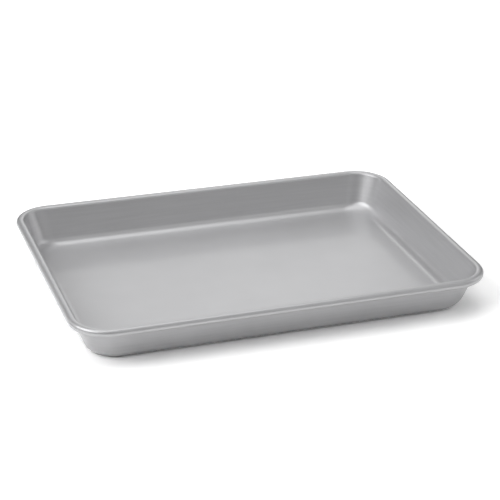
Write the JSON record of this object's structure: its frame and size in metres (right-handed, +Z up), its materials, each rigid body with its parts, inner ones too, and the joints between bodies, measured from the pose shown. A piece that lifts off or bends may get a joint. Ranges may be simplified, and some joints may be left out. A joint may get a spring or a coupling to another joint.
{
  "type": "sheet pan",
  "caption": "Shallow rectangular sheet pan with flared walls, rounded corners and a rim rolled over a stiffening wire, for baking and roasting in an oven.",
  "frame": {"origin": "middle of the floor's underside, on the surface that the pan stands on", "axes": "+X along the pan's length, +Y across it towards the back long side, +Z up out of the open top"},
  "size_m": [0.33, 0.241, 0.0316],
  "materials": {
    "coated_sheet": "satin silver-grey non-stick coat on drawn steel sheet",
    "rim_wire": "drawn steel wire, dull"
  },
  "bodies": {
    "root": {"pan_shell": "coated_sheet", "rim_wire": "rim_wire"}
  },
  "joints": []
}
